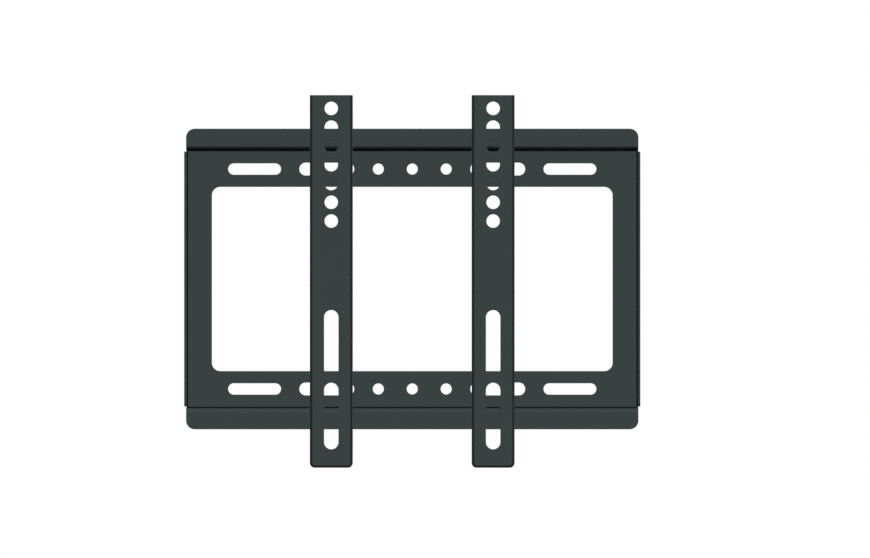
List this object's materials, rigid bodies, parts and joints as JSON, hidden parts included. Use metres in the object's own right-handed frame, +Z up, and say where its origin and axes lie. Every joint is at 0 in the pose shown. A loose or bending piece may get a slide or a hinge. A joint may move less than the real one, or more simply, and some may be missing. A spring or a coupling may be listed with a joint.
{
  "type": "monitor wall mount",
  "caption": "Low-profile fixed wall mount for a monitor: a folded, slotted wall plate with an open window, and folded channel arms that hook over its rails and slide sideways.",
  "frame": {"origin": "centre of the wall screw pattern, on the wall", "axes": "+Y into the wall, -Y towards the screen, +Z up, +X to the right as seen from the front"},
  "size_m": [0.282, 0.025, 0.2302],
  "materials": {
    "powder_coated_steel": "dark slate powder coat, low sheen"
  },
  "bodies": {
    "wall_plate": {"wall_plate": "powder_coated_steel"},
    "left_arm": {"left_arm": "powder_coated_steel"},
    "right_arm": {"right_arm": "powder_coated_steel"}
  },
  "joints": [
    {"name": "left_arm_slide", "type": "slide", "parent": "wall_plate", "child": "left_arm", "axis": [-1, 0, 0], "range_m": [-0.036, 0.076]},
    {"name": "right_arm_slide", "type": "slide", "parent": "wall_plate", "child": "right_arm", "axis": [1, 0, 0], "range_m": [-0.036, 0.076]}
  ]
}
